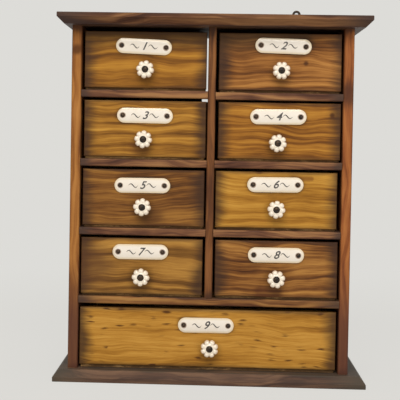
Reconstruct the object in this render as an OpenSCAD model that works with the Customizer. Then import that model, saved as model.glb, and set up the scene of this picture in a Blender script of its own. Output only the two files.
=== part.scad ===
// Wall spice rack: a small wooden cabinet with eight drawers in two columns over one wide drawer.
// Origin at the centre of the base board's underside, +Z up. The drawers open towards -Y.

/* [Carcass] */
// Width over the two side boards
case_w = 307; // [270:1:330]
// Depth from the front edges of the side boards to the wall face
case_d = 114; // [90:1:150]
// How far the carcass sits left of the middle of the top and base boards
case_shift = 1.5; // [0:0.5:3]
// Thickness of the side boards
side_t = 11; // [9:0.5:14]
// Thickness of the divider between the two columns
divider_t = 8.6; // [7:0.2:12]
// Radius worn on the front edges of the side boards and the divider
upright_edge_r = 2; // [0.5:0.1:3]
// Thickness of the back boards
back_t = 6; // [4:0.5:9]
// Gap between the two back boards behind the divider
back_gap = 0.6; // [0.2:0.1:2]
// Width of the sliver lost from the left back board, measured from the middle of the divider
split_w = 12; // [8:0.5:20]
// Length of the lost sliver, measured down from the top board
split_l = 77.2; // [40:0.1:120]

/* [Top board] */
// How far the top board stands out at each end, past the side boards
top_end = 15; // [8:0.5:25]
// Thickness of the top board
top_t = 11.8; // [9:0.1:16]
// How far the top board stands out in front of the side boards
top_lip = 22; // [14:1:30]
// Height of the upright band at the edge of the top board
top_band = 4.7; // [2:0.1:7]
// Width of the bevel under the front and the ends of the top board
top_bevel = 7; // [4:0.5:10]

/* [Base board] */
// How far the base board stands out at each end, past the side boards
base_end = 16; // [8:0.5:25]
// Thickness of the base board
base_t = 12.5; // [9:0.5:16]
// How far the base board stands out in front of the side boards
base_lip = 13; // [8:1:25]
// Height of the upright band at the edge of the base board
base_band = 5.1; // [2:0.1:7]
// Width of the bevel on the front and the ends of the base board
base_bevel = 6; // [4:0.5:7]
// Radius worn on the outer edges of the top and base boards
board_edge_r = 0.8; // [0.3:0.1:1.5]

/* [Shelves] */
// Height of the bay of each small drawer, except in the top row
bay_h = 67.3; // [66:0.1:90]
// How much higher the bays in the top row are
top_bay_more = 2.3; // [0:0.1:10]
// Height of the bay of the wide drawer
wide_bay_h = 71.8; // [68:0.1:90]
// Height of the shelf rails, and thickness of the long shelf
rail_h = 8.1; // [6:0.1:12]
// Depth of the shelf rails
rail_d = 18; // [12:1:30]
// Radius worn on the front edges of the rails and the long shelf
rail_edge_r = 1.6; // [0.5:0.1:2.5]
// How much lower the top right shelf was nailed than the top left one
right_shelf_drop = 0.8; // [0:0.1:2]
// Thickness of the thin shelf boards behind the rails
shelf_t = 3; // [2:0.1:4]
// Depth of the grooves that hold the ends of the shelves
groove_d = 2.5; // [1:0.1:3]
// Length by which the long shelf's grooves stop short of the front edge
groove_stop = 12; // [6:1:20]

/* [Drawers] */
// Gap between a small drawer front and what stands beside it
front_side_gap = 2.3; // [1:0.1:4]
// Gap between a small drawer front and the rail above it, in the lower rows
front_top_gap = 3.2; // [1:0.1:6]
// Gap between the wide drawer front and the side boards
wide_side_gap = 2; // [1:0.1:4]
// Gap between the wide drawer front and the long shelf
wide_top_gap = 4.7; // [1:0.1:6]
// Thickness of the drawer fronts
front_t = 9.5; // [8:0.5:14]
// Distance of the drawer fronts behind the front edges of the side boards
front_recess = 3; // [0:0.5:6]
// Radius worn on the edges of the drawer fronts
front_edge_r = 1.2; // [0.4:0.1:2]
// Thickness of the sides of the drawer boxes
box_side_t = 5; // [4:0.5:8]
// Thickness of the backs of the drawer boxes
box_back_t = 5; // [4:0.5:8]
// Distance of the drawer box's sides from the ends of its front
box_inset = 1.5; // [0.5:0.1:3]
// Distance of the drawer sides' tops below the top of the front
box_side_drop = 9.8; // [4:0.2:25]
// Distance of the top of the drawer back below the top of the sides
box_back_drop = 4; // [0:1:20]
// Thickness of the bottoms of the small drawers
bottom_t = 2; // [1.5:0.1:3]
// Thickness of the bottom of the wide drawer
wide_bottom_t = 3.2; // [2:0.1:4]
// Distance of the drawer bottom's front edge behind the face of the drawer
bottom_setback = 3; // [2:0.5:6]
// Gap between the drawer and the shelf it slides on
slide_gap = 0.3; // [0.2:0.1:0.6]
// Gap between the drawer and the back boards
rear_gap = 2; // [1:0.5:6]
// Gap in the glued and nailed joints of the drawer boxes
joint_gap = 0.1; // [0.05:0.05:0.2]

/* [Knobs] */
// Distance of the knobs' centres below the top of the front, as a share of its height
knob_share = 0.67; // [0.62:0.01:0.72]
// Diameter over the petals
knob_d = 19.6; // [16:0.2:26]
// Number of petals
petals = 8; // [6:1:10]
// Radius of one petal's round end
petal_r = 3.4; // [3:0.1:4.4]
// Height of the knob
knob_h = 14.6; // [12:0.1:20]
// Diameter of the knob's foot
knob_foot_d = 12; // [9:0.5:16]
// Diameter of the knob's neck
knob_neck_d = 9; // [7:0.5:12]
// Diameter of the knob screw's head
screw_head_d = 7.2; // [6:0.1:7.6]
// Diameter of the knob screw's shank
screw_d = 3.2; // [2.5:0.1:4]
// Depth of the dish that the screw head sits in
dish_depth = 1.4; // [0.6:0.1:2]
// Width across the knob screw's square nut
nut_w = 7; // [6:0.5:9]
// Thickness of the nut
nut_t = 2.6; // [2:0.1:4]
// Diameter of the washer under the nut
washer_d = 9.5; // [8:0.5:14]
// Thickness of the washer
washer_t = 0.8; // [0.5:0.1:1.5]

/* [Name plates] */
// Distance of the plates' centres below the top of the front, as a share of its height
plate_share = 0.252; // [0.22:0.002:0.27]
// Width of a name plate
plate_w = 61; // [40:0.5:80]
// Height of a name plate
plate_h = 16.4; // [12:0.1:20]
// Thickness of a name plate at its edge
plate_edge = 1; // [0.6:0.1:2]
// Extra thickness at the plate's middle
plate_crown = 1.3; // [0.6:0.1:2]
// Distance of the plate's nails from its ends
plate_nail_in = 6.2; // [5:0.1:8]
// Diameter of the plate nails' round heads
nail_head_d = 4.8; // [3.5:0.1:6]
// Height of the plate nails' round heads
nail_head_h = 1.5; // [1:0.1:2.2]
// Diameter of the plate nails' shanks
nail_d = 1.6; // [1.2:0.1:2.2]
// Length of the plate nails in the wood
nail_l = 7; // [5:0.5:8]

/* [Hangers] */
// Distance of each hanger inside the outer face of its side board
hanger_inset = 53.2; // [30:0.1:90]
// Distance from the hanger's screw to the middle of its eye
hanger_l = 24; // [18:0.5:40]
// Diameter of the hanger's eye
eye_d = 10.2; // [8:0.2:16]
// Diameter of the hole in the eye
eye_hole_d = 4.8; // [3:0.1:6]
// Diameter of the round end at the screw
hanger_end_d = 11; // [9:0.5:11.5]
// Width of the strap between the two round ends
strap_w = 5.6; // [4:0.1:8]
// Thickness of the hanger
hanger_t = 1.6; // [1:0.1:3]
// Diameter of the hanger screws' shanks
hanger_screw_d = 3.6; // [3:0.1:4]
// Diameter of the hanger screws' heads
hanger_head_d = 7; // [6:0.1:9]
// Length of the hanger screws in the top board
hanger_screw_l = 18; // [12:1:25]
// Gap between a hanger and what it turns against
hanger_gap = 0.2; // [0.1:0.05:0.3]
// Clearance round a hanger screw, on the radius
pivot_fit = 0.05; // [0.02:0.01:0.1]

/* [Case nails] */
// Diameter of the nails that hold the case together
case_nail_d = 1.8; // [1.4:0.1:2.4]
// Diameter of their flat heads
case_nail_head_d = 4; // [3:0.1:5]
// Thickness of their flat heads
case_nail_head_t = 0.8; // [0.5:0.1:1.2]
// Length of the nails below the board that they hold
case_nail_bite = 18; // [12:1:25]
// Clearance round nails and screws in their holes, on the radius
hole_fit = 0.05; // [0.02:0.01:0.1]

/* [Hidden] */
$fn = 64;
EPS = 0.01;
SMALL_ROWS = 4;
WIDE = 2 * SMALL_ROWS + 1;
TOP_RIGHT = 2;

// How each drawer was fitted by hand, drawer 1 at the top left and 9 the wide one. The columns:
FRONT_RIGHT = 0;
FRONT_NARROWER = 1;
FRONT_TALLER = 2;
PLATE_RIGHT = 3;
PLATE_DOWN = 4;
PLATE_TURN = 5;
KNOB_RIGHT = 6;
KNOB_DOWN = 7;
KNOB_TURN = 8;
FITTED = [
    [0.6, 0, 0, -2.1, 0.9, -2.2, 0.4, 0.7, -10],
    [0.4, 0.6, 0.8, 3.1, -1.9, -1.5, 0.8, -0.7, 22],
    [0.9, 0, 0, -0.1, 0.8, -0.4, -0.8, 0.9, -7],
    [0.8, 0.6, 0, -1.4, -0.2, 0.3, -2.2, 2.7, -11],
    [0.4, 0, 0, -1.2, 1.8, 0.2, -0.4, -0.9, -5],
    [-1.3, 1.2, 0, -1.1, -1.6, 0.4, -0.2, -1.1, -6],
    [-0.3, 0, 0, -1.5, -0.7, 0.3, 0, 0, -3],
    [0, 0, 0, -0.3, -0.2, 0.2, -0.2, -1.1, 12],
    [-0.5, 0, 0, -1.5, 1.2, 0.2, 2.8, -2.1, 21],
];

CASE_NODES = [
    "top_board", "base_board", "left_side", "right_side", "divider", "long_shelf", "shelf_rails",
    "shelf_boards", "back_board_left", "back_board_right", "hanger_left", "hanger_right",
    "hanger_screws", "case_nails",
];
DRAWER_NODES = ["front", "box", "knob", "plate", "pins"];

// Places in depth, from the front to the wall
back_y = (case_d + base_lip) / 2;
case_y = back_y - case_d;
bay_back_y = back_y - back_t;
face_y = case_y + front_recess;

// Places across, from the middle of the top and base boards
case_x = -case_shift;
side_x = case_w / 2 - side_t / 2;
hanger_x = case_w / 2 - hanger_inset;
inner_w = case_w - 2 * side_t;
bay_w = (inner_w - divider_t) / 2;
bay_x = (divider_t + bay_w) / 2;

// Places in height, from the underside of the base
long_shelf_z = base_t + wide_bay_h;
column_z = long_shelf_z + rail_h;
row_step = bay_h + rail_h;
top_z = column_z + (SMALL_ROWS - 1) * row_step + bay_h + top_bay_more;
rack_h = top_z + top_t;

front_w = bay_w - 2 * front_side_gap;
front_h = bay_h - slide_gap - bottom_t - front_top_gap;
wide_front_w = inner_w - 2 * wide_side_gap;
wide_front_h = wide_bay_h - slide_gap - wide_bottom_t - wide_top_gap;
drawer_d = case_d - back_t - front_recess - rear_gap;
petal_ring = knob_d / 2 - petal_r;
petal_z = knob_h - petal_r;
hanger_z = rack_h - top_t / 2;
plate_arc_r = (pow(plate_h / 2, 2) + pow(plate_crown, 2)) / (2 * plate_crown);

function on_left(n) = n % 2 == 1;
function row_up(n) = SMALL_ROWS - 1 - floor((n - 1) / 2);
function shelf_top(n) = column_z + row_up(n) * row_step - (n == TOP_RIGHT ? right_shelf_drop : 0);
function floor_z(n) = n == WIDE ? base_t : shelf_top(n);
function column_x(n) = n == WIDE ? 0 : (on_left(n) ? -bay_x : bay_x);
function fitted(n, what) = FITTED[n - 1][what];
function width_of(n) = (n == WIDE ? wide_front_w : front_w) - fitted(n, FRONT_NARROWER);
function height_of(n) = (n == WIDE ? wide_front_h : front_h) + fitted(n, FRONT_TALLER);
function bottom_of(n) = n == WIDE ? wide_bottom_t : bottom_t;
function knob_z(n) = bottom_of(n) + (1 - knob_share) * height_of(n) - fitted(n, KNOB_DOWN);
function plate_z(n) = bottom_of(n) + (1 - plate_share) * height_of(n) - fitted(n, PLATE_DOWN);

// A rectangle in X and Y with its two front corners rounded, its front edge at Y 0
module worn_front(w, d, r) {
    translate([-w / 2, r]) square([w, d - r]);
    translate([-w / 2 + r, 0]) square([w - 2 * r, d]);
    for (side = [-1, 1])
        translate([side * (w / 2 - r), r]) circle(r);
}

// The same section standing up as a board of height h
module upright(w, d, h, r) {
    linear_extrude(h) worn_front(w, d, r);
}

// The same section lying along X as a rail of length l and height h
module rail(l, d, h, r) {
    translate([l / 2, 0, h / 2]) rotate([0, -90, 0]) linear_extrude(l) worn_front(h, d, r);
}

// Outline of a board's edge seen from its end: an upright band, then a bevel down to the flat side.
// The band is at x 0 and below y 0; the flat side is at y -t.
module edge_profile(reach, t, band, bevel, r) {
    polygon([[r, 0], [reach, 0], [reach, -t], [bevel, -t], [0, -band], [0, -r]]);
    translate([r, -r]) circle(r);
}

// A bevelled board with its band up and its flat side down, the rear edge square.
// It spans x from -w/2 to w/2 and y from 0 to d, with its upper face at z 0.
module bevelled_board(w, d, t, band, bevel, r) {
    intersection() {
        translate([w / 2, 0, 0]) rotate([90, 0, -90]) linear_extrude(w)
            mirror([1, 0]) edge_profile(d, t, band, bevel, r);
        translate([0, d, 0]) rotate([90, 0, 0]) linear_extrude(d) {
            translate([-w / 2, 0]) edge_profile(w / 2, t, band, bevel, r);
            translate([w / 2, 0]) mirror([1, 0]) edge_profile(w / 2, t, band, bevel, r);
        }
    }
}

// A nail or its hole, driven along +Z from z 0, with its flat head at the start
module flat_nail(l, extra) {
    cylinder(r = case_nail_d / 2 + extra, h = l + extra);
    cylinder(r = case_nail_head_d / 2 + extra, h = case_nail_head_t + extra);
}

// Nails through the top board, through the base board and through the back boards
module case_nails_at(extra) {
    nail_l = top_t + case_nail_bite;
    base_nail_l = base_t + case_nail_bite;
    back_nail_l = back_t + case_nail_bite;
    translate([case_x, 0, 0]) {
        for (side = [-1, 1], share = [0.2, 0.5, 0.8]) {
            nail_y = case_y + share * (case_d - back_t);
            translate([side * side_x, nail_y, rack_h]) mirror([0, 0, 1]) flat_nail(nail_l, extra);
            translate([side * side_x, nail_y, 0]) flat_nail(base_nail_l, extra);
        }
        for (side = [-1, 1], share = [0.08, 0.36, 0.64, 0.92]) {
            nail_z = base_t + share * (top_z - base_t);
            translate([side * side_x, back_y, nail_z]) rotate([90, 0, 0]) flat_nail(back_nail_l, extra);
        }
        for (side = [-1, 1], share = [0.3, 0.5, 0.7]) {
            nail_z = base_t + share * (top_z - base_t);
            translate([side * divider_t / 4 + side * back_gap, back_y, nail_z]) rotate([90, 0, 0])
                flat_nail(back_nail_l, extra);
        }
    }
}

// The hanger screws or their holes, driven into the rear edge of the top board
module hanger_screws_at(extra) {
    for (side = [-1, 1])
        translate([case_x + side * hanger_x, back_y, hanger_z]) rotate([90, 0, 0])
            translate([0, 0, -hanger_t - 2 * hanger_gap])
                cylinder(r = hanger_screw_d / 2 + extra, h = hanger_screw_l + hanger_t + extra);
}

// The six thin shelf boards, or the space of their grooves
module shelf_boards_at(extra) {
    for (n = [1:2 * (SMALL_ROWS - 1)])
        translate([
            case_x + column_x(n) - bay_w / 2 - groove_d,
            case_y + rail_d,
            shelf_top(n) - shelf_t - extra,
        ])
            cube([bay_w + 2 * groove_d, bay_back_y - case_y - rail_d, shelf_t + 2 * extra]);
}

// The long shelf's housed ends, or the space of its grooves
module long_shelf_ends(extra) {
    translate([case_x - inner_w / 2 - groove_d, case_y + groove_stop, long_shelf_z - extra])
        cube([inner_w + 2 * groove_d, bay_back_y - case_y - groove_stop, rail_h + 2 * extra]);
}

module top_board() {
    color("#5b3a28") difference() {
        translate([0, case_y - top_lip, rack_h])
            bevelled_board(
                case_w + 2 * top_end, case_d + top_lip, top_t, top_band, top_bevel, board_edge_r
            );
        case_nails_at(hole_fit);
        hanger_screws_at(hole_fit);
    }
}

module base_board() {
    color("#5a4d42") difference() {
        translate([0, case_y - base_lip, 0]) mirror([0, 0, 1])
            bevelled_board(
                case_w + 2 * base_end, case_d + base_lip, base_t, base_band, base_bevel, board_edge_r
            );
        case_nails_at(hole_fit);
    }
}

module side_board(side) {
    difference() {
        translate([case_x + side * side_x, case_y, base_t])
            upright(side_t, case_d - back_t, top_z - base_t, upright_edge_r);
        shelf_boards_at(joint_gap / 2);
        long_shelf_ends(joint_gap / 2);
        case_nails_at(hole_fit);
    }
}

module left_side() {
    color("#87592f") side_board(-1);
}

module right_side() {
    color("#87592f") side_board(1);
}

module divider() {
    color("#6a4326") difference() {
        translate([case_x, case_y, column_z])
            upright(divider_t, case_d - back_t, top_z - column_z, upright_edge_r);
        shelf_boards_at(joint_gap / 2);
        case_nails_at(hole_fit);
    }
}

module long_shelf() {
    color("#7a4f30") {
        translate([case_x, case_y, long_shelf_z])
            rail(inner_w, case_d - back_t, rail_h, rail_edge_r);
        long_shelf_ends(0);
    }
}

module shelf_rails() {
    color("#7a4f30") for (n = [1:2 * (SMALL_ROWS - 1)])
        translate([case_x + column_x(n), case_y, shelf_top(n) - rail_h])
            rail(bay_w, rail_d, rail_h, rail_edge_r);
}

module shelf_boards() {
    color("#6b4a30") shelf_boards_at(0);
}

module back_board(side) {
    difference() {
        translate([case_x + (side < 0 ? -case_w / 2 : back_gap / 2), bay_back_y, base_t])
            cube([case_w / 2 - back_gap / 2, back_t, top_z - base_t]);
        case_nails_at(hole_fit);
    }
}

module back_board_left() {
    color("#7d6a55") difference() {
        back_board(-1);
        translate([case_x - split_w, bay_back_y - EPS, top_z - split_l])
            cube([split_w + EPS, back_t + 2 * EPS, split_l + EPS]);
    }
}

module back_board_right() {
    color("#7d6a55") back_board(1);
}

// One hanger, its screw hole at the origin and its eye up, lying on the face y 0
module hanger() {
    rotate([90, 0, 0]) difference() {
        mirror([0, 0, 1]) linear_extrude(hanger_t) {
            circle(d = hanger_end_d);
            translate([-strap_w / 2, 0]) square([strap_w, hanger_l]);
            translate([0, hanger_l]) circle(d = eye_d);
        }
        translate([0, 0, -hanger_t - EPS])
            cylinder(r = hanger_screw_d / 2 + pivot_fit, h = hanger_t + 2 * EPS);
        translate([0, hanger_l, -hanger_t - EPS])
            cylinder(d = eye_hole_d, h = hanger_t + 2 * EPS);
    }
}

module hanger_right() {
    color("#4a4038") translate([case_x + hanger_x, back_y + hanger_gap, hanger_z]) hanger();
}

// The left hanger hangs down behind the back boards
module hanger_left() {
    color("#4a4038") translate([case_x - hanger_x, back_y + hanger_gap, hanger_z])
        rotate([0, 180, 0]) hanger();
}

module hanger_screws() {
    head_r = hanger_head_d / 2;
    color("#3a332d") difference() {
        union() {
            hanger_screws_at(0);
            for (side = [-1, 1])
                translate([
                    case_x + side * hanger_x,
                    back_y + hanger_t + 2 * hanger_gap,
                    hanger_z,
                ])
                    rotate([-90, 0, 0]) intersection() {
                        cylinder(r = head_r, h = head_r / 2);
                        translate([0, 0, -0.75 * head_r]) sphere(r = 1.25 * head_r);
                    }
        }
        for (side = [-1, 1])
            translate([
                case_x + side * hanger_x - hanger_head_d / 2,
                back_y + hanger_t + 2 * hanger_gap + head_r / 4,
                hanger_z - hanger_head_d / 14,
            ])
                cube([hanger_head_d, head_r, hanger_head_d / 7]);
    }
}

module case_nails() {
    color("#3a332d") case_nails_at(0);
}

// Everything of drawer n stands in the drawer's own frame: x 0 in the middle of its front,
// y 0 at the face and z 0 under its bottom.
module in_drawer(n) {
    translate([
        case_x + column_x(n) + fitted(n, FRONT_RIGHT),
        face_y,
        floor_z(n) + slide_gap,
    ])
        children();
}

// Turns +Z into the way out of the drawer's face, at the middle of its knob
module at_knob(n) {
    translate([fitted(n, KNOB_RIGHT), 0, knob_z(n)]) rotate([90, 0, 0])
        rotate([0, 0, fitted(n, KNOB_TURN)]) children();
}

// The same at the middle of its name plate
module at_plate(n) {
    translate([fitted(n, PLATE_RIGHT), 0, plate_z(n)]) rotate([90, 0, 0])
        rotate([0, 0, fitted(n, PLATE_TURN)]) children();
}

module at_plate_nails(n) {
    at_plate(n) for (side = [-1, 1])
        translate([side * (plate_w / 2 - plate_nail_in), 0, 0]) children();
}

// A panel with all four edges of its face worn round
module drawer_front(n) {
    w = width_of(n);
    h = height_of(n);
    color(n == WIDE ? "#b07a35" : "#97682f") in_drawer(n) difference() {
        translate([0, 0, bottom_of(n)]) intersection() {
            upright(w, front_t, h, front_edge_r);
            rail(w, front_t, h, front_edge_r);
        }
        at_knob(n) translate([0, 0, -front_t - EPS])
            cylinder(r = screw_d / 2 + hole_fit, h = front_t + 2 * EPS);
        at_plate_nails(n) translate([0, 0, -nail_l - hole_fit])
            cylinder(r = nail_d / 2 + hole_fit, h = nail_l + 2 * hole_fit);
    }
}

// Two sides, a back and a bottom, nailed and glued behind the front
module drawer_box(n) {
    outer_w = width_of(n) - 2 * box_inset;
    floor_t = bottom_of(n);
    side_h = height_of(n) - box_side_drop;
    color("#a98557") in_drawer(n) {
        translate([-outer_w / 2, bottom_setback, 0])
            cube([outer_w, drawer_d - bottom_setback, floor_t - joint_gap]);
        for (side = [-1, 1])
            translate([side * (outer_w - box_side_t) / 2, drawer_d, floor_t + side_h])
                rotate([90, 0, 0]) linear_extrude(drawer_d - front_t)
                    mirror([0, 1]) worn_front(box_side_t, side_h, box_side_t / 5);
        translate([0, drawer_d - box_back_t / 2, floor_t + side_h - box_back_drop])
            back_panel(outer_w - 2 * box_side_t - 2 * joint_gap, side_h - box_back_drop);
    }
}

module back_panel(w, h) {
    translate([-w / 2, 0, 0]) rotate([90, 0, 90]) linear_extrude(w)
        mirror([0, 1]) worn_front(box_back_t, h, box_back_t / 5);
}

// A porcelain rosette: a foot and neck turned round, and petals set in a ring
module drawer_knob(n) {
    head_r = petal_ring + petal_r / 4;
    color("#ece2cf") in_drawer(n) at_knob(n) difference() {
        union() {
            rotate_extrude() polygon([
                [0, 0],
                [knob_foot_d / 2, 0],
                [knob_foot_d / 2, knob_h / 9],
                [knob_neck_d / 2, knob_h / 4],
                [knob_neck_d / 2, petal_z - petal_r * 0.9],
                [head_r, petal_z - petal_r / 2],
                [head_r, petal_z + petal_r / 2],
                [screw_head_d / 2 + 1, knob_h],
                [0, knob_h],
            ]);
            for (k = [0:petals - 1])
                rotate([0, 0, 90 + k * 360 / petals]) translate([petal_ring, 0, petal_z])
                    sphere(r = petal_r);
        }
        translate([0, 0, -EPS]) cylinder(r = screw_d / 2 + hole_fit, h = knob_h + 2 * EPS);
        translate([0, 0, knob_h - dish_depth])
            cylinder(r = screw_head_d / 2 + 4 * hole_fit, h = dish_depth + EPS);
    }
}

// A glazed plate with round ends, crowned along its length, with seats for its two nails
module drawer_plate(n) {
    color("#efe6d4") in_drawer(n) at_plate(n) difference() {
        plate_blank();
        for (side = [-1, 1])
            translate([side * (plate_w / 2 - plate_nail_in), 0, 0]) {
                translate([0, 0, -EPS])
                    cylinder(r = nail_d / 2 + hole_fit, h = plate_edge + plate_crown + 2 * EPS);
                translate([0, 0, plate_edge + plate_crown / 2])
                    cylinder(r = nail_head_d / 2 + 4 * hole_fit, h = plate_crown);
            }
    }
}

// Half of the plate's cross-section, as a lathe profile about its long middle line
module plate_half() {
    intersection() {
        square([plate_h / 2, plate_edge + plate_crown]);
        union() {
            square([plate_h / 2, plate_edge]);
            translate([0, plate_edge + plate_crown - plate_arc_r]) circle(plate_arc_r, $fn = 180);
        }
    }
}

module plate_blank() {
    straight = plate_w - plate_h;
    for (side = [-1, 1])
        translate([side * straight / 2, 0, 0]) rotate_extrude() plate_half();
    translate([-straight / 2, 0, 0]) rotate([90, 0, 90]) linear_extrude(straight) {
        plate_half();
        mirror([1, 0]) plate_half();
    }
}

// The knob's screw, washer and square nut, and the two nails of the name plate
module drawer_pins(n) {
    seat_z = knob_h - dish_depth;
    shank_l = seat_z + front_t + washer_t + nut_t + nut_t / 2;
    head_r = screw_head_d / 2;
    nut_z = -front_t - washer_t - nut_t - joint_gap;
    color("#38312c") in_drawer(n) {
        at_knob(n) {
            difference() {
                union() {
                    translate([0, 0, seat_z - shank_l]) cylinder(d = screw_d, h = shank_l + EPS);
                    translate([0, 0, seat_z]) intersection() {
                        cylinder(r = head_r, h = head_r * 0.6);
                        translate([0, 0, -head_r * 0.6]) sphere(r = head_r * 1.2);
                    }
                }
                translate([-head_r, -head_r / 7, seat_z + head_r * 0.35])
                    cube([2 * head_r, head_r / 3.5, head_r]);
            }
            translate([0, 0, -front_t - washer_t]) difference() {
                cylinder(d = washer_d, h = washer_t);
                translate([0, 0, -EPS]) cylinder(r = screw_d / 2 + hole_fit, h = washer_t + 2 * EPS);
            }
            translate([0, 0, nut_z]) difference() {
                translate([-nut_w / 2, -nut_w / 2, 0]) cube([nut_w, nut_w, nut_t]);
                translate([0, 0, -EPS]) cylinder(r = screw_d / 2 + hole_fit, h = nut_t + 2 * EPS);
            }
        }
        at_plate_nails(n) {
            translate([0, 0, -nail_l]) cylinder(d = nail_d, h = nail_l + plate_edge + plate_crown);
            translate([0, 0, plate_edge + plate_crown / 2]) intersection() {
                cylinder(d = nail_head_d, h = nail_head_h);
                translate([0, 0, nail_head_h - nail_head_d * 0.55]) sphere(r = nail_head_d * 0.55);
            }
        }
    }
}

top_board();
base_board();
left_side();
right_side();
divider();
long_shelf();
shelf_rails();
shelf_boards();
back_board_left();
back_board_right();
hanger_left();
hanger_right();
hanger_screws();
case_nails();
for (n = [1:WIDE]) {
    drawer_front(n);
    drawer_box(n);
    drawer_knob(n);
    drawer_plate(n);
    drawer_pins(n);
}
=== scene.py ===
from math import atan2, cos, hypot, pi, radians, sin, sqrt

import bmesh
import bpy
from mathutils import Matrix, Vector


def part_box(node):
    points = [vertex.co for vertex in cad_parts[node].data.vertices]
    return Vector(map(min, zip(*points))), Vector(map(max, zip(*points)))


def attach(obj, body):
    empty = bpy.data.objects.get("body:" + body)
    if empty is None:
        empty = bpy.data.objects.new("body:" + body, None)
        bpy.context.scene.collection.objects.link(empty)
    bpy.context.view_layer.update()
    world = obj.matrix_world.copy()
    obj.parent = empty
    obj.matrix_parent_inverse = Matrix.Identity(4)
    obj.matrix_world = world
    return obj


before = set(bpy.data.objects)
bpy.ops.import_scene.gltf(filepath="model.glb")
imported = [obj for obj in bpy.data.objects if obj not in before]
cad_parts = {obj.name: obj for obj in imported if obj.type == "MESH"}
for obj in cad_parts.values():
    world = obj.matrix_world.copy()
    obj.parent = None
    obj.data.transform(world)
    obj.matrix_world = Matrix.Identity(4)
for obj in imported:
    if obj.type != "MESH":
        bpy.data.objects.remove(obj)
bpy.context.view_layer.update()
MM = 0.001

# The viewpoint: a long lens a metre in front of the rack, a little above its middle.
# The camera is turned slightly to the left and rolled by a degree, as the photograph was.
IMAGE_SIDE = 400
PRINCIPAL_POINT = (182.6, 156.9)
FOCAL_PIXELS = 900
SENSOR_WIDTH = 36
CAMERA_PLACE = (0.0005, -1.0307, 0.2682)
CAMERA_TILT, CAMERA_ROLL, CAMERA_TURN = radians(88.74), radians(-0.988), radians(1.924)

camera_data = bpy.data.cameras.new("camera")
camera_data.sensor_width = SENSOR_WIDTH
camera_data.lens = FOCAL_PIXELS * SENSOR_WIDTH / IMAGE_SIDE
camera_data.shift_x = (IMAGE_SIDE / 2 - PRINCIPAL_POINT[0]) / IMAGE_SIDE
camera_data.shift_y = (PRINCIPAL_POINT[1] - IMAGE_SIDE / 2) / IMAGE_SIDE
camera = bpy.data.objects.new("camera", camera_data)
camera.location = CAMERA_PLACE
camera.rotation_euler = (CAMERA_TILT, CAMERA_ROLL, CAMERA_TURN)
bpy.context.scene.collection.objects.link(camera)
bpy.context.scene.camera = camera
bpy.context.scene.view_settings.view_transform = "Standard"


# The studio: a pale floor that runs into a backdrop of the same colour, one broad soft lamp
# above the camera, a weaker one beside it, and an even pale surround.
def linear(hex_colour):
    """A colour written as in a picture, such as "#dcdad6", as the linear numbers of a shader."""
    parts = [int(hex_colour[k : k + 2], 16) / 255 for k in (1, 3, 5)]
    return tuple(p / 12.92 if p <= 0.04045 else ((p + 0.055) / 1.055) ** 2.4 for p in parts) + (1,)


def put(tree, kind, inputs=None, **settings):
    """Adds a shader node. A value given for a socket is linked if it is a socket, or else set on it."""
    node = tree.nodes.new("ShaderNode" + kind)
    for name, value in settings.items():
        setattr(node, name, value)
    for socket, value in (inputs or {}).items():
        if isinstance(value, bpy.types.NodeSocket):
            tree.links.new(value, node.inputs[socket])
        else:
            node.inputs[socket].default_value = value
    return node


def calculate(tree, operation, a, b=0.0, c=0.0):
    return put(tree, "Math", {0: a, 1: b, 2: c}, operation=operation).outputs[0]


def blend_colours(tree, share, first, second):
    return put(tree, "Mix", {0: share, 6: first, 7: second}, data_type="RGBA").outputs[2]


def smooth_step(tree, value, low, high, at_low=0.0, at_high=1.0):
    limits = {"Value": value, 1: low, 2: high, 3: at_low, 4: at_high}
    return put(tree, "MapRange", limits, interpolation_type="SMOOTHSTEP").outputs[0]


def new_finish(name):
    """A new material with an empty node tree and its output node."""
    finish = bpy.data.materials.new(name)
    finish.use_nodes = True
    finish.node_tree.nodes.clear()
    return finish, finish.node_tree, put(finish.node_tree, "OutputMaterial")


def link_surface(tree, output, shader):
    tree.links.new(shader, output.inputs["Surface"])


FLOOR_RADIUS, FLOOR_SIDES = 8.0, 96
BACKGROUND = linear("#dddcd8")
FLOOR_SHADOW_SHARE, SHADOW_REACH = 0.12, (0.3, 0.9)
SURROUND_STRENGTH = 0.50
KEY_LAMP = {"energy": 30.0, "size": 1.5, "size_y": 1.0, "place": (-0.15, -1.5, 1.75)}
FILL_LAMP = {"energy": 5.0, "size": 1.2, "size_y": 1.2, "place": (0.9, -1.6, 0.35)}
LAMP_AIM = Vector((0, 0, 0.2))


def seen_directly(tree):
    """One for the rays that show the backdrop itself, and none for those that only light the rack."""
    ray = put(tree, "LightPath")
    seen = calculate(tree, "MAXIMUM", ray.outputs["Is Camera Ray"], ray.outputs["Is Glossy Ray"])
    return calculate(tree, "MAXIMUM", seen, ray.outputs["Is Transmission Ray"])


sheet = bmesh.new()
bmesh.ops.create_circle(sheet, cap_ends=True, radius=FLOOR_RADIUS, segments=FLOOR_SIDES)
floor_mesh = bpy.data.meshes.new("floor")
sheet.to_mesh(floor_mesh)
floor = bpy.data.objects.new("floor", floor_mesh)
bpy.context.scene.collection.objects.link(floor)

paper, tree, output = new_finish("floor_paper")
place = put(tree, "TexCoord").outputs["Object"]
away = put(tree, "VectorMath", {0: place}, operation="LENGTH").outputs["Value"]
shadow = smooth_step(tree, away, SHADOW_REACH[0], SHADOW_REACH[1], FLOOR_SHADOW_SHARE, 0.0)
share = calculate(tree, "MULTIPLY", seen_directly(tree), calculate(tree, "SUBTRACT", 1.0, shadow))
glow = put(tree, "Emission", {"Color": BACKGROUND})
matt = put(tree, "BsdfDiffuse", {"Color": BACKGROUND})
both = put(tree, "MixShader", {0: share, 1: matt.outputs[0], 2: glow.outputs[0]})
link_surface(tree, output, both.outputs[0])
floor_mesh.materials.append(paper)

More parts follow.
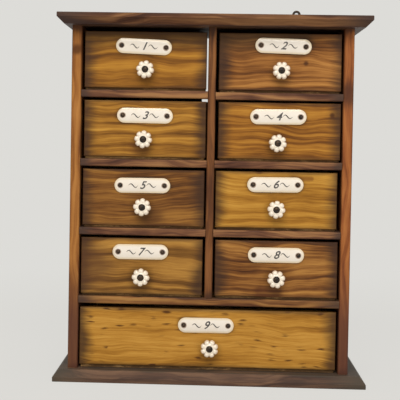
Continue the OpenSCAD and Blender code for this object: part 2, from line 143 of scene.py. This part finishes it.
world = bpy.data.worlds.new("surround")
world.use_nodes = True
bpy.context.scene.world = world
tree = world.node_tree
tree.nodes.clear()
direct = seen_directly(tree)
tint = blend_colours(tree, direct, linear("#fbf8f4"), BACKGROUND)
strength = calculate(tree, "MULTIPLY_ADD", direct, 1 - SURROUND_STRENGTH, SURROUND_STRENGTH)
glow = put(tree, "Background", {"Color": tint, "Strength": strength})
link_surface(tree, put(tree, "OutputWorld"), glow.outputs[0])

for name, lamp in (("key", KEY_LAMP), ("fill", FILL_LAMP)):
    data = bpy.data.lights.new(name, "AREA")
    data.shape = "RECTANGLE"
    data.size, data.size_y, data.energy = lamp["size"], lamp["size_y"], lamp["energy"]
    data.color = linear("#fff6ea")[:3]
    holder = bpy.data.objects.new(name, data)
    holder.location = lamp["place"]
    holder.rotation_euler = (LAMP_AIM - Vector(lamp["place"])).to_track_quat("-Z", "Y").to_euler()
    bpy.context.scene.collection.objects.link(holder)


# The top board: one broad softwood board stained dark, its end grain nearly black and its
# face rubbed a warmer brown. All the rack's wood is this kind of old, oiled and worn pine.
def board_of(*nodes):
    """The box of one or more CAD nodes: its middle and half its size."""
    corners = [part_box(node) for node in nodes]
    low = Vector([min(c[0][k] for c in corners) for k in range(3)])
    high = Vector([max(c[1][k] for c in corners) for k in range(3)])
    return (low + high) / 2, (high - low) / 2


def old_wood(
    name, board, tones, grain="X", seed=0.0, ring_gap=7 * MM, figure=0.5, streaks=0.5, patches=0.5,
    flow=14 * MM, stain="#33221c", end_stain=9 * MM, edge_stain=2.5 * MM, flecks=0.0, edge_wear_and_highlight="#a67a4c",
    edge_wear_and_highlight_amount=0.35, roughness=0.5, rub=None,
):
    """Old softwood with its growth rings, fibres, dark ends and lighter rounded edges.

    board is the middle and half size of the box that the stains keep to; tones are three colours
    from the dark lines to the light wood; grain is the axis that the fibres follow, and flow is
    how far they wander from it. worn and wear are the colour and strength of the lighter rounded
    edges, rubbed pale on every edge; on boards with grain along X they are kept to the upward-facing
    edges, so there they are also a painted highlight from the lamp above. rub is a list of
    (x, z, reach, radius, colour, strength) for places darkened or bleached, round or drawn out along
    X by the reach: marks of handling, knots, and on the drawer fronts painted shadow and shade.
    """
    middle, half = board
    finish, tree, output = new_finish(name)
    place = put(tree, "TexCoord").outputs["Object"]
    centred = put(tree, "VectorMath", {0: place, 1: tuple(middle)}, operation="SUBTRACT").outputs[0]
    turn = {"X": (0, 0, 0), "Y": (0, 0, radians(90)), "Z": (0, radians(90), 0)}[grain]
    along = put(tree, "Mapping", {"Vector": centred, "Rotation": turn}).outputs[0]

    def drawn_out(base, x, y, z, shift):
        """The grain's own coordinates, scaled by cycles per metre along, into and across the board."""
        moved = put(tree, "Mapping", {"Vector": base, "Location": (shift, shift * 1.7, shift * 0.6),
                                      "Scale": (x, y, z)})
        return moved.outputs[0]

    wander = put(tree, "TexNoise", {"Vector": drawn_out(along, 11, 12, 16, seed * 2 + 7), "Scale": 1.0,
                                    "Detail": 2.0, "Roughness": 0.45}).outputs[0]
    aside = calculate(tree, "MULTIPLY", calculate(tree, "SUBTRACT", wander, 0.5), flow * 2)
    aside = put(tree, "CombineXYZ", {2: aside}).outputs[0]
    bent = put(tree, "VectorMath", {0: along, 1: aside}, operation="ADD").outputs[0]
    heart = put(tree, "Mapping", {"Vector": bent, "Scale": (0.07, 1, 1),
                                  "Location": (seed, 0.055 + 0.01 * sin(seed * 5), 0.03 * cos(seed * 3))})
    rings = put(tree, "TexWave", {"Vector": heart.outputs[0], "Scale": 0.314 / ring_gap, "Distortion": 5.0,
                                  "Detail": 2.5, "Detail Scale": 0.9, "Detail Roughness": 0.55},
                wave_type="RINGS", rings_direction="X", wave_profile="SIN").outputs[1]
    streak = put(tree, "TexNoise", {"Vector": drawn_out(bent, 6, 90, 260, seed * 3 + 1), "Scale": 1.0,
                                    "Detail": 4.0, "Roughness": 0.62}).outputs[0]
    fibre = put(tree, "TexNoise", {"Vector": drawn_out(bent, 35, 800, 900, seed * 7 + 2), "Scale": 1.0,
                                   "Detail": 3.0, "Roughness": 0.65}).outputs[0]
    patch = put(tree, "TexNoise", {"Vector": drawn_out(along, 14, 18, 30, seed * 5 + 4), "Scale": 1.0,
                                   "Detail": 3.0, "Roughness": 0.55}).outputs[0]

    lines = calculate(tree, "MULTIPLY_ADD", rings, figure * 0.9, 0.5 - figure * 0.45)
    lines = calculate(tree, "MULTIPLY_ADD", calculate(tree, "SUBTRACT", streak, 0.5), streaks * 3.2, lines)
    lines = calculate(tree, "MULTIPLY_ADD", calculate(tree, "SUBTRACT", fibre, 0.5), 0.8, lines)
    lines = calculate(tree, "MULTIPLY_ADD", calculate(tree, "SUBTRACT", patch, 0.5), patches * 2.0, lines)
    wood = put(tree, "ValToRGB", {0: lines})
    ramp = wood.color_ramp
    ramp.interpolation = "B_SPLINE"
    ramp.elements[0].position, ramp.elements[0].color = 0.12, linear(tones[0])
    ramp.elements[1].position, ramp.elements[1].color = 0.9, linear(tones[2])
    ramp.elements.new(0.5).color = linear(tones[1])
    colour = wood.outputs[0]

    if flecks:
        cells = put(tree, "TexVoronoi", {"Vector": drawn_out(bent, 60, 40, 170, seed * 11 + 3), "Scale": 1.0})
        rare = smooth_step(tree, put(tree, "SeparateXYZ", {0: cells.outputs[1]}).outputs[0], 0.35, 0.8)
        ragged_spot = calculate(tree, "MULTIPLY_ADD", calculate(tree, "SUBTRACT", fibre, 0.5), 1.1,
                                cells.outputs[0])
        spot = smooth_step(tree, ragged_spot, 0.05, 0.32, 1.0, 0.0)
        soft = calculate(tree, "MULTIPLY", calculate(tree, "MULTIPLY", spot, rare), flecks)
        colour = blend_colours(tree, soft, colour, linear("#4a260c"))

    apart = put(tree, "SeparateXYZ", {0: along})
    ends = {"X": half.x, "Y": half.y, "Z": half.z}[grain]
    sides = half.x if grain == "Z" else half.z
    ragged = calculate(tree, "MULTIPLY_ADD", calculate(tree, "SUBTRACT", streak, 0.5), 12 * MM,
                       calculate(tree, "MULTIPLY", calculate(tree, "SUBTRACT", patch, 0.5), 26 * MM))
    from_end = calculate(tree, "SUBTRACT", ends, calculate(tree, "ABSOLUTE", apart.outputs[0]))
    from_end = calculate(tree, "ADD", from_end, ragged)
    dirty_end = smooth_step(tree, from_end, 0.1 * end_stain, 2.0 * end_stain, 1.0, 0.0)
    from_side = calculate(tree, "SUBTRACT", sides, calculate(tree, "ABSOLUTE", apart.outputs[2]))
    from_side = calculate(tree, "MULTIPLY_ADD", ragged, 0.15, from_side)
    dirty_side = smooth_step(tree, from_side, 0, 2 * edge_stain, 0.75, 0.0)
    dirt = calculate(tree, "MULTIPLY", calculate(tree, "MAXIMUM", dirty_end, dirty_side), 0.85)
    colour = blend_colours(tree, dirt, colour, linear(stain))

    apart_x = put(tree, "SeparateXYZ", {0: centred})
    for x, z, reach, radius, tint, strength in rub or ():
        away_x = calculate(tree, "ABSOLUTE", calculate(tree, "SUBTRACT", apart_x.outputs[0], x))
        away_x = calculate(tree, "MAXIMUM", calculate(tree, "SUBTRACT", away_x, reach), 0.0)
        away_z = calculate(tree, "SUBTRACT", apart_x.outputs[2], z)
        squared = calculate(tree, "MULTIPLY_ADD", away_x, away_x, calculate(tree, "MULTIPLY", away_z, away_z))
        distance = calculate(tree, "MULTIPLY_ADD", ragged, min(1.0, radius / (20 * MM)),
                             calculate(tree, "SQRT", squared))
        near = smooth_step(tree, distance, 0.35 * radius, 1.3 * radius, strength, 0.0)
        colour = blend_colours(tree, near, colour, linear(tint))

    # The rounded edges are lightened: rubbed pale on every edge, and on boards with grain along X only on the
    # upward-facing edges, a painted highlight as if from the lamp above.
    rounded = put(tree, "Bevel", {"Radius": 1.6 * MM}, samples=4).outputs[0]
    flat = put(tree, "NewGeometry").outputs["True Normal"]
    agree = put(tree, "VectorMath", {0: rounded, 1: flat}, operation="DOT_PRODUCT").outputs["Value"]
    edge = smooth_step(tree, agree, 0.80, 0.995, edge_wear_and_highlight_amount, 0.0)
    edge = calculate(tree, "MULTIPLY", edge, smooth_step(tree, patch, 0.4, 0.6))
    if grain == "X":
        upward = put(tree, "SeparateXYZ", {0: rounded}).outputs[2]
        edge = calculate(tree, "MULTIPLY", edge, smooth_step(tree, upward, 0.0, 0.3))
    colour = blend_colours(tree, edge, colour, linear(edge_wear_and_highlight))

    shine = calculate(tree, "MULTIPLY_ADD", fibre, 0.3, roughness - 0.15)
    relief = calculate(tree, "MULTIPLY_ADD", rings, 0.4, fibre)
    bump = put(tree, "Bump", {"Strength": 0.35, "Distance": 0.4 * MM, "Height": relief})
    wood_shader = put(tree, "BsdfPrincipled", {"Base Color": colour, "Roughness": shine,
                                               "Normal": bump.outputs[0], "Specular IOR Level": 0.16})
    link_surface(tree, output, wood_shader.outputs[0])
    return finish


def dress(node, finish):
    """Gives a CAD node a finish in place of the plain one that it came with."""
    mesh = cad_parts[node].data
    mesh.materials.clear()
    mesh.materials.append(finish)


dress("top_board", old_wood(
    "top_board_wood", board_of("top_board"), ("#3d2419", "#63402a", "#86603f"), seed=1.3, figure=0.35,
    streaks=0.6, patches=0.4, stain="#41332f", end_stain=30 * MM, edge_stain=0.5 * MM, edge_wear_and_highlight="#93705a",
))

# The base board: the same softwood, greyer and dirtier from standing, its upper face left
# bare and dusty beside the case.
dress("base_board", old_wood(
    "base_board_wood", board_of("base_board"), ("#3a2d29", "#5b4438", "#7a5f4b"), seed=2.1, figure=0.25,
    streaks=0.5, patches=0.5, stain="#46423a", end_stain=26 * MM, edge_stain=0.5 * MM, edge_wear_and_highlight="#7c6a5b",
    roughness=0.6,
))

# The two side boards: orange pine, its grain upright, rubbed pale on the front edge and
# darkened to a red brown lower down where hands and soot reached it.
SIDE_TONES = {"left_side": ("#70411c", "#95602c", "#b07a40"), "right_side": ("#5c2f17", "#94552a", "#b0743f")}
for side, tones in SIDE_TONES.items():
    middle, half = board_of(side)
    low_patch = (0, -half.z * 0.95, 0, 95 * MM, "#57362b", 0.85)
    knot = (0, half.z * 0.86, 0, 6 * MM, "#4a2810", 0.8) if side == "left_side" else (
        0, half.z * 0.62, 0, 16 * MM, "#3d231c", 0.8)
    dress(side, old_wood(
        side + "_wood", (middle, half), tones, grain="Z", seed=3.7 if side == "left_side" else 5.2,
        figure=0.3, streaks=0.35, patches=0.55, stain="#4a2c1e", end_stain=4 * MM, edge_stain=0.6 * MM,
        rub=[low_patch, knot],
    ))

# The divider: a thinner board between the columns, darker and redder than the sides.
dress("divider", old_wood(
    "divider_wood", board_of("divider"), ("#4a2c1c", "#6e4526", "#8b5c34"), grain="Z", seed=6.4, figure=0.25,
    streaks=0.4, patches=0.7, stain="#40281c", end_stain=6 * MM, edge_stain=0.5 * MM,
))

# The shelves: a rail along the front of each, with a thin board let into the sides behind
# it, and one thick shelf over the wide drawer.
dress("shelf_rails", old_wood(
    "rail_wood", board_of("shelf_rails"), ("#472c22", "#6f4934", "#9a7048"), seed=7.9, figure=0.2,
    streaks=0.7,
    patches=0.9, stain="#45352e", end_stain=8 * MM, edge_stain=0.1 * MM, edge_wear_and_highlight="#a98662", edge_wear_and_highlight_amount=0.5,
))
dress("long_shelf", old_wood(
    "long_shelf_wood", board_of("long_shelf"), ("#553420", "#80552e", "#a57a45"), seed=8.8, figure=0.2,
    streaks=0.7, patches=0.7, stain="#45352e", end_stain=18 * MM, edge_stain=0.2 * MM, edge_wear_and_highlight="#a98662",
    edge_wear_and_highlight_amount=0.5,
))
dress("shelf_boards", old_wood(
    "shelf_board_wood", board_of("shelf_boards"), ("#4b3220", "#6f5034", "#8c6c48"), seed=9.5, roughness=0.7,
    end_stain=2 * MM, edge_stain=0.1 * MM, edge_wear_and_highlight_amount=0.1,
))

# The back: two upright boards nailed over the rear edges, rough and grey on the wall side.
for side, seed in (("left", 10.3), ("right", 11.6)):
    dress("back_board_" + side, old_wood(
        f"back_board_{side}_wood", board_of("back_board_" + side), ("#4e3b2a", "#7a6048", "#9c8263"),
        grain="Z", seed=seed, ring_gap=11 * MM, figure=0.15, flow=5 * MM, streaks=0.35, roughness=0.75,
        stain="#4b4038", edge_wear_and_highlight_amount=0.15,
    ))

# The drawer fronts: nine pieces cut from different boards and fitted by hand. Each has a
# lighter field where it was rubbed with oil and dark ends where the polish kept its dirt.
# The first of these colours is painted shadow: the shade of the top board's overhang, laid along the upper
# edge of the two top fronts.
TOP_BOARD_SHADOW, GRIME_AND_SHADE, KNOT = "#46301b", "#33200f", "#3f2010"
FRONT_WOODS = {
    1: dict(tones=("#5f3a12", "#966320", "#b78431"), seed=12.4, figure=0.45, streaks=0.3, patches=0.3,
            rub=[(0, 33 * MM, 50 * MM, 22 * MM, TOP_BOARD_SHADOW, 0.85)]),
    2: dict(tones=("#4d2b12", "#8a5725", "#b98445"), seed=13.1, figure=0.25, streaks=0.5, patches=0.45,
            rub=[(-25 * MM, 33 * MM, 40 * MM, 22 * MM, TOP_BOARD_SHADOW, 0.85),
                 (28 * MM, -1 * MM, 0, 3 * MM, KNOT, 0.8)]),
    3: dict(tones=("#5f3b13", "#9b6a25", "#c08f3c"), seed=14.7, figure=0.4, streaks=0.4, patches=0.5,
            rub=[(-4 * MM, -22 * MM, 2 * MM, 12 * MM, "#5d3418", 0.6)]),
    4: dict(tones=("#5a3310", "#9b6521", "#bf8b38"), seed=15.2, figure=0.3, streaks=0.5, patches=0.45,
            rub=[(57 * MM, 18 * MM, 0, 3 * MM, KNOT, 0.8)]),
    5: dict(tones=("#3f2613", "#75491f", "#a37536"), seed=16.9, figure=0.25, streaks=0.5, patches=0.4,
            rub=[(10 * MM, -22 * MM, 0, 16 * MM, "#4b2c18", 0.6)]),
    6: dict(tones=("#6c4210", "#ab7726", "#c99a45"), seed=17.6, figure=0.35, streaks=0.35, patches=0.35,
            rub=[(-19 * MM, 33 * MM, 0, 5 * MM, KNOT, 0.8),
                 (28 * MM, 24 * MM, 10 * MM, 3 * MM, "#6b3a16", 0.6)]),
    7: dict(tones=("#573814", "#94672c", "#bb8d43"), seed=18.3, figure=0.55, streaks=0.3, patches=0.35,
            rub=[(-55 * MM, 0, 0, 26 * MM, "#5a3a22", 0.7)]),
    8: dict(tones=("#432410", "#835325", "#b48343"), seed=19.8, figure=0.25, streaks=0.6, patches=0.5,
            rub=[(-8 * MM, -26 * MM, 8 * MM, 8 * MM, "#4a2414", 0.6)]),
    9: dict(tones=("#7c4f16", "#b6822f", "#cfa04e"), seed=20.5, figure=0.15, streaks=0.25, patches=0.3,
            flecks=0.9, rub=[]),
}
for n, look in FRONT_WOODS.items():
    middle, half = board_of(f"drawer_{n}_front")
    knob_middle, knob_half = board_of(f"drawer_{n}_knob")
    plate_middle, plate_half = board_of(f"drawer_{n}_plate")
    # Darker wood round the knob, centred a little below it, and round the plate: dirt, and painted shade
    # beneath them.
    knob_grime_and_shadow = (knob_middle.x - middle.x, knob_middle.z - middle.z - 2 * MM, 0,
                  knob_half.x + 3 * MM, GRIME_AND_SHADE, 0.55)
    plate_grime_and_shade = (plate_middle.x - middle.x, plate_middle.z - middle.z, plate_half.x - plate_half.z,
                   plate_half.z + 1 * MM, GRIME_AND_SHADE, 0.85)
    look["rub"] += [knob_grime_and_shadow, plate_grime_and_shade]
    dress(f"drawer_{n}_front", old_wood(f"drawer_{n}_front_wood", (middle, half), stain="#38261d", **look))

# The drawer boxes: plain thin softwood, never stained, darkened only by age and handling.
for n in FRONT_WOODS:
    dress(f"drawer_{n}_box", old_wood(
        f"drawer_{n}_box_wood", board_of(f"drawer_{n}_box"), ("#7a5a36", "#a37f50", "#bf9d6c"),
        grain="Y", seed=30 + n * 1.1, figure=0.2, flow=6 * MM, streaks=0.35, patches=0.25,
        roughness=0.7, stain="#5d4630", end_stain=1.5 * MM, edge_stain=1 * MM, edge_wear_and_highlight_amount=0.1,
    ))


# The knobs: white porcelain rosettes with eight petals round a flat face, the glaze warm
# with age and darkened brown where the petals meet: dirt the fingers never wipe, and painted shade in those
# crevices.
def glazed(tree, output, colour, normal=None, roughness=0.16):
    shader = put(tree, "BsdfPrincipled", {"Base Color": colour, "Roughness": roughness,
                                          "Specular IOR Level": 0.5})
    shader.inputs["Coat Weight"].default_value = 0.5
    shader.inputs["Coat Roughness"].default_value = 0.08
    if normal is not None:
        tree.links.new(normal, shader.inputs["Normal"])
    link_surface(tree, output, shader.outputs[0])


PETALS = 8
for n in FRONT_WOODS:
    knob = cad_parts[f"drawer_{n}_knob"]
    middle, half = board_of(knob.name)
    reach = half.x
    tip = max(knob.data.vertices, key=lambda v: hypot(v.co.x - middle.x, v.co.z - middle.z)).co
    tip_turn = atan2(tip.z - middle.z, tip.x - middle.x)
    porcelain, tree, output = new_finish(f"drawer_{n}_porcelain")
    place = put(tree, "TexCoord").outputs["Object"]
    centred = put(tree, "VectorMath", {0: place, 1: tuple(middle)}, operation="SUBTRACT").outputs[0]
    apart = put(tree, "SeparateXYZ", {0: centred})
    x, z = apart.outputs[0], apart.outputs[2]
    squared = calculate(tree, "MULTIPLY_ADD", x, x, calculate(tree, "MULTIPLY", z, z))
    radius = calculate(tree, "SQRT", squared)
    angle = calculate(tree, "SUBTRACT", calculate(tree, "ARCTAN2", z, x), tip_turn)
    # Darker brown in the grooves between the petals: dirt, and painted shade in the crevices.
    groove = calculate(tree, "COSINE", calculate(tree, "MULTIPLY", angle, PETALS))
    groove = smooth_step(tree, groove, -1, -0.25, 1.0, 0.0)
    groove = calculate(tree, "MULTIPLY", groove, smooth_step(tree, radius, 0.62 * reach, 0.86 * reach))
    rim = smooth_step(tree, radius, 0.83 * reach, 1.0 * reach, 0.0, 0.55)
    foot = smooth_step(tree, apart.outputs[1], 0.1 * half.y, half.y, 0.0, 0.8)
    cloud = put(tree, "TexNoise", {"Vector": place, "Scale": 260.0, "Detail": 3.0}).outputs[0]
    tint = blend_colours(tree, cloud, linear("#efe4d2"), linear("#f3ecdf"))
    tint = blend_colours(tree, rim, tint, linear("#d9b894"))
    tint = blend_colours(tree, foot, tint, linear("#a98262"))
    tint = blend_colours(tree, calculate(tree, "MULTIPLY", groove, 0.75), tint, linear("#8b6a50"))
    dimple = put(tree, "Bump", {"Strength": 0.1, "Distance": 0.2 * MM, "Height": cloud})
    glazed(tree, output, tint, dimple.outputs[0])
    dress(knob.name, porcelain)

# The name plates: pressed iron plates with round ends under thick cream enamel, yellowed
# towards the rim and rusty round the nails.
PLATE_HEIGHT, NAIL_INSET = 16.4 * MM, 6.2 * MM
plate_places = {}
for n in FRONT_WOODS:
    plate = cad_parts[f"drawer_{n}_plate"]
    middle, half = board_of(plate.name)
    right = max(plate.data.vertices, key=lambda v: v.co.x).co
    left = min(plate.data.vertices, key=lambda v: v.co.x).co
    straight = right.x - left.x - PLATE_HEIGHT
    tilt = atan2(right.z - left.z, straight)
    length = straight / cos(tilt) + PLATE_HEIGHT
    plate_places[n] = (middle, half.y, tilt, length)
    enamel, tree, output = new_finish(f"drawer_{n}_enamel")
    place = put(tree, "TexCoord").outputs["Object"]
    centred = put(tree, "VectorMath", {0: place, 1: tuple(middle)}, operation="SUBTRACT").outputs[0]
    level = put(tree, "Mapping", {"Vector": centred, "Rotation": (0, tilt, 0)}).outputs[0]
    apart = put(tree, "SeparateXYZ", {0: level})
    x = calculate(tree, "ABSOLUTE", apart.outputs[0])
    z = apart.outputs[2]

    z_squared = calculate(tree, "MULTIPLY", z, z)
    past = calculate(tree, "SUBTRACT", x, (length - PLATE_HEIGHT) / 2)
    past = calculate(tree, "MAXIMUM", past, 0.0)
    from_middle = calculate(tree, "SQRT", calculate(tree, "MULTIPLY_ADD", past, past, z_squared))
    rim = smooth_step(tree, from_middle, 0.6 * PLATE_HEIGHT / 2, PLATE_HEIGHT / 2, 0.0, 0.75)
    past = calculate(tree, "SUBTRACT", x, length / 2 - NAIL_INSET)
    from_nail = calculate(tree, "SQRT", calculate(tree, "MULTIPLY_ADD", past, past, z_squared))
    cloud = put(tree, "TexNoise", {"Vector": place, "Scale": 150.0, "Detail": 4.0}).outputs[0]
    rust = smooth_step(tree, calculate(tree, "MULTIPLY_ADD", cloud, -1.6 * MM, from_nail), 1.9 * MM, 3.0 * MM,
                       0.8, 0.0)
    tint = blend_colours(tree, cloud, linear("#ebe3d5"), linear("#efebe6"))
    tint = blend_colours(tree, rim, tint, linear("#dcc9a2"))
    tint = blend_colours(tree, rust, tint, linear("#7b5a3c"))
    glazed(tree, output, tint, roughness=0.22)
    dress(plate.name, enamel)

# The plates' lettering: a plain number between two pen strokes, fired into the enamel.
INK_HEIGHT, INK_SLANT, INK_LIFT, INK_WEIGHT = 12 * MM, 0.38, 0.08 * MM, 0.18 * MM
CROWN = 1.3 * MM
CROWN_RADIUS = ((PLATE_HEIGHT / 2) ** 2 + CROWN**2) / (2 * CROWN)
STROKE_REACH, STROKE_WIDTH, STROKE_POINTS = 10.5 * MM, 0.55 * MM, 25
STROKE_START, STROKE_RISE = 4.8 * MM, 2.4 * MM
CUT_STEP, CUTS = 0.8 * MM, 7

ink, tree, output = new_finish("plate_ink")
place = put(tree, "TexCoord").outputs["Object"]
worn_ink = put(tree, "TexNoise", {"Vector": place, "Scale": 900.0, "Detail": 2.0}).outputs[0]
glazed(tree, output, blend_colours(tree, smooth_step(tree, worn_ink, 0.45, 0.75), linear("#3a3838"),
                                   linear("#77706a")), roughness=0.3)


def stroke_curve(side):
    """One pen stroke beside the number: a flat S that starts and ends fine."""
    data = bpy.data.curves.new("stroke", "CURVE")
    data.dimensions = "3D"
    data.bevel_depth = STROKE_WIDTH
    data.bevel_resolution = 2
    data.use_fill_caps = True
    spline = data.splines.new("POLY")
    spline.points.add(STROKE_POINTS - 1)
    for k, point in enumerate(spline.points):
        t = k / (STROKE_POINTS - 1)
        x = side * (STROKE_START + t * STROKE_REACH)
        y = side * STROKE_RISE * sin(2 * pi * t) * (1 - 0.35 * t)
        point.co = (x, y, 0, 1)
        point.radius = 0.15 + 0.85 * sin(pi * t)
    return data


for n in FRONT_WOODS:
    middle, half_depth, tilt, length = plate_places[n]
    number = bpy.data.curves.new(f"number_{n}", "FONT")
    number.body = str(n)
    number.size = INK_HEIGHT
    number.shear = INK_SLANT
    number.align_x, number.align_y = "CENTER", "CENTER"
    number.extrude = 0.05 * MM
    number.offset = INK_WEIGHT
    number.resolution_u = 6
    lettering = bmesh.new()
    for data in (number, stroke_curve(-1), stroke_curve(1)):
        source = bpy.data.objects.new("source", data)
        bpy.context.scene.collection.objects.link(source)
        bpy.context.view_layer.update()
        mesh = bpy.data.meshes.new_from_object(source.evaluated_get(bpy.context.evaluated_depsgraph_get()))
        lettering.from_mesh(mesh)
        bpy.data.objects.remove(source)
    bmesh.ops.remove_doubles(lettering, verts=lettering.verts, dist=0.005 * MM)
    for k in range(-CUTS, CUTS + 1):
        everything = lettering.verts[:] + lettering.edges[:] + lettering.faces[:]
        bmesh.ops.bisect_plane(lettering, geom=everything, plane_co=(0, k * CUT_STEP, 0), plane_no=(0, 1, 0))
    bmesh.ops.recalc_face_normals(lettering, faces=lettering.faces)
    for vert in lettering.verts:
        drop = CROWN_RADIUS - sqrt(CROWN_RADIUS**2 - vert.co.y**2)
        vert.co.z += INK_LIFT - drop
    upright = Matrix.Rotation(radians(90), 4, "X")
    turned = Matrix.Rotation(-tilt, 4, "Y")
    moved = Matrix.Translation((middle.x, middle.y - half_depth, middle.z))
    bmesh.ops.transform(lettering, matrix=moved @ turned @ upright, verts=lettering.verts)
    mesh = bpy.data.meshes.new(f"drawer_{n}_number")
    lettering.to_mesh(mesh)
    mesh.materials.append(ink)
    piece = bpy.data.objects.new(f"drawer_{n}_number", mesh)
    bpy.context.scene.collection.objects.link(piece)
    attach(piece, f"drawer_{n}")

# The iron: knob screws, plate nails, case nails and the two hangers, browned by a hundred
# years of kitchen air, with the bright metal gone and the slots full of dirt.
iron, tree, output = new_finish("old_iron")
place = put(tree, "TexCoord").outputs["Object"]
grit = put(tree, "TexNoise", {"Vector": place, "Scale": 900.0, "Detail": 4.0, "Roughness": 0.7}).outputs[0]
bloom = put(tree, "TexNoise", {"Vector": place, "Scale": 240.0, "Detail": 2.0}).outputs[0]
tint = blend_colours(tree, smooth_step(tree, bloom, 0.42, 0.62), linear("#2b2723"), linear("#4b3a2c"))
dull = calculate(tree, "MULTIPLY_ADD", grit, 0.35, 0.35)
pitted = put(tree, "Bump", {"Strength": 0.35, "Distance": 0.15 * MM, "Height": grit})
metal = put(tree, "BsdfPrincipled", {"Base Color": tint, "Roughness": dull, "Normal": pitted.outputs[0]})
metal.inputs["Metallic"].default_value = 0.55
link_surface(tree, output, metal.outputs[0])
for node in ["hanger_left", "hanger_right", "hanger_screws", "case_nails"]:
    dress(node, iron)
for n in FRONT_WOODS:
    dress(f"drawer_{n}_pins", iron)
